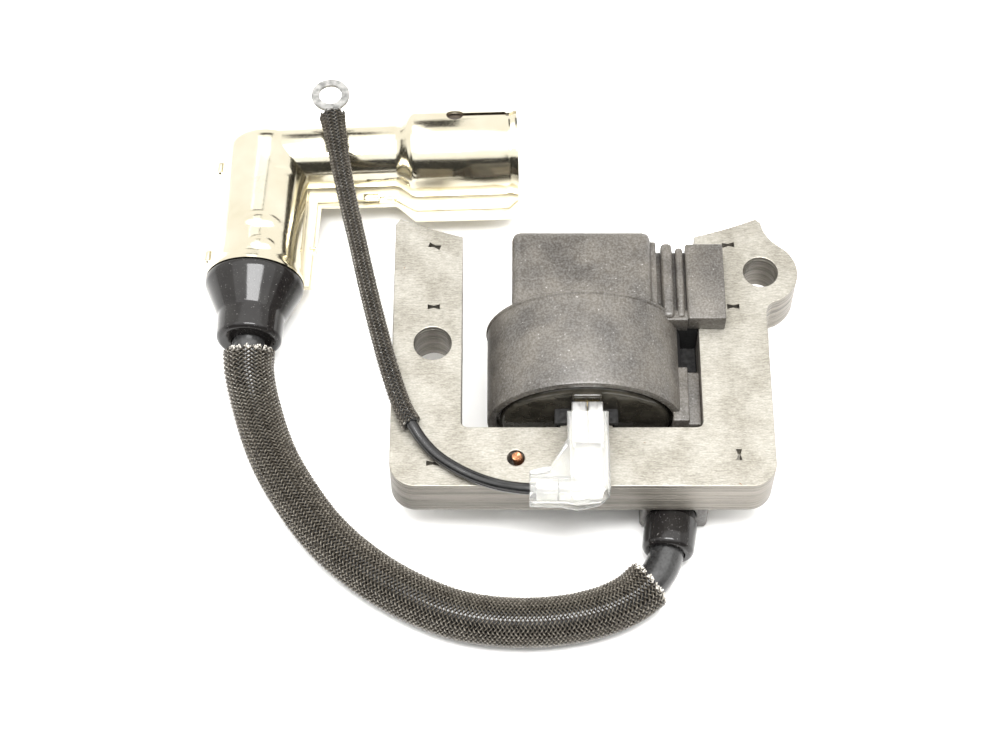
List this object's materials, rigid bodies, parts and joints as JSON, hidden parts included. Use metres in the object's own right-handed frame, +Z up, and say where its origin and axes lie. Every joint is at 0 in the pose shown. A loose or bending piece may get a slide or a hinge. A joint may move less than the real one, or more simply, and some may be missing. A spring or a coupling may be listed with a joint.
{
  "type": "ignition coil",
  "caption": "Small-engine magneto ignition coil: E-shaped laminated core, moulded winding case, braided spark plug lead with shielded elbow cap, and a short stop-switch lead.",
  "frame": {"origin": "centre of the flat foot under the coil case, on the surface that the part lies on", "axes": "+Z up, through the core's thickness; +Y along the core's legs toward the flywheel; +X to the right along the core's front bar"},
  "size_m": [0.1236, 0.1262, 0.033],
  "materials": {
    "core_steel": "matte, bare",
    "copper": "dull copper",
    "case_plastic": "dark moulded",
    "bobbin_plastic": "natural nylon",
    "primary_copper": "enamelled copper wire",
    "secondary_copper": "fine enamelled copper wire",
    "resin": "poured epoxy",
    "module": "coated circuit board",
    "brass": "plain",
    "rubber": "smooth, slightly glossy",
    "cable_jacket": "smooth",
    "braid": "braided, varnished",
    "phenolic": "moulded phenolic",
    "shield_metal": "yellow passivated zinc plating, bright",
    "resistor": "glazed",
    "spring_steel": "drawn wire",
    "tinned_steel": "tinned",
    "clear_plastic": "soft, milky clear",
    "wire_jacket": "smooth"
  },
  "bodies": {
    "coil": {"lamination_01": "core_steel", "lamination_02": "core_steel", "lamination_03": "core_steel", "lamination_04": "core_steel", "lamination_05": "core_steel", "lamination_06": "core_steel", "lamination_07": "core_steel", "lamination_08": "core_steel", "lamination_09": "core_steel", "lamination_10": "core_steel", "ground_pin": "copper", "coil_case": "case_plastic", "primary_bobbin": "bobbin_plastic", "primary_winding": "primary_copper", "secondary_bobbin": "bobbin_plastic", "secondary_winding": "secondary_copper", "potting_resin": "resin", "trigger_module": "module", "blade_terminal": "brass", "lead_boot": "rubber", "lead_spike": "brass", "spark_cable": "cable_jacket", "spark_sleeve": "braid"},
    "plug_cap": {"cap_boot": "rubber", "cap_insulator": "phenolic", "shield_upper": "shield_metal", "shield_lower": "shield_metal", "cable_screw": "brass", "cap_resistor": "resistor", "contact_spring": "spring_steel", "plug_contact": "brass", "socket_seal": "rubber"},
    "stop_lead": {"flag_terminal": "tinned_steel", "terminal_cover": "clear_plastic", "kill_wire": "wire_jacket", "kill_sleeve": "braid", "ring_terminal": "tinned_steel"}
  },
  "joints": [
    {"name": "cap_swivel", "type": "hinge", "parent": "coil", "child": "plug_cap", "pos_m": [-0.0667, 0.0584, 0.0105], "axis": [0.0349, 0.9994, 0], "range_deg": [0, 90]},
    {"name": "terminal_pull", "type": "slide", "parent": "coil", "child": "stop_lead", "axis": [0, -1, 0], "range_m": [0, 0.01]}
  ]
}
